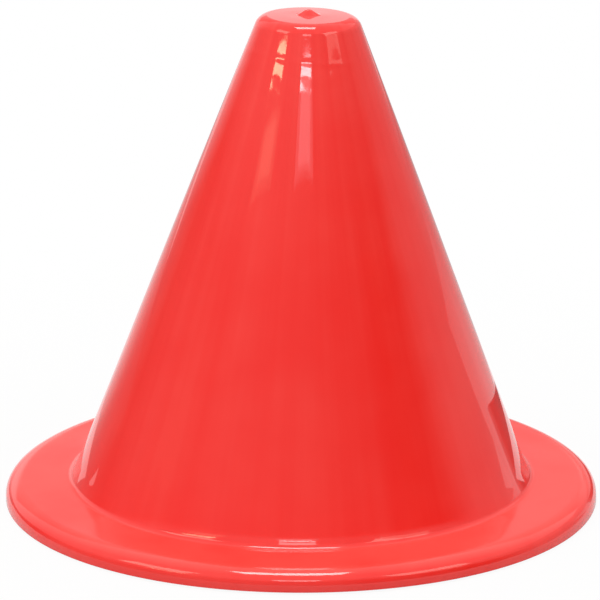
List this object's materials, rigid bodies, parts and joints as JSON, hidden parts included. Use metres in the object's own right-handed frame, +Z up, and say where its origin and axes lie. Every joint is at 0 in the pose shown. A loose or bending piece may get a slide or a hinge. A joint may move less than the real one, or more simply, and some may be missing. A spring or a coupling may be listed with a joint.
{
  "type": "sports marker cone",
  "caption": "Hollow glossy red sports marker cone: steep tapered wall, almost flat closed crown with a gate mark, and a round flanged base with a down-turned rim; open underneath so that cones nest.",
  "frame": {"origin": "centre of the base ring, on the surface that the cone stands on", "axes": "+Z up along the cone's axis; the cone is round, so X and Y are free, and the picture is taken to look along +Y"},
  "size_m": [0.182, 0.182, 0.1514],
  "materials": {
    "cone_plastic": "glossy coral-red moulded polyethylene, self-coloured"
  },
  "bodies": {
    "root": {"crown_cap": "cone_plastic", "cone_wall": "cone_plastic", "base_flange": "cone_plastic", "rim_lip": "cone_plastic"}
  },
  "joints": []
}
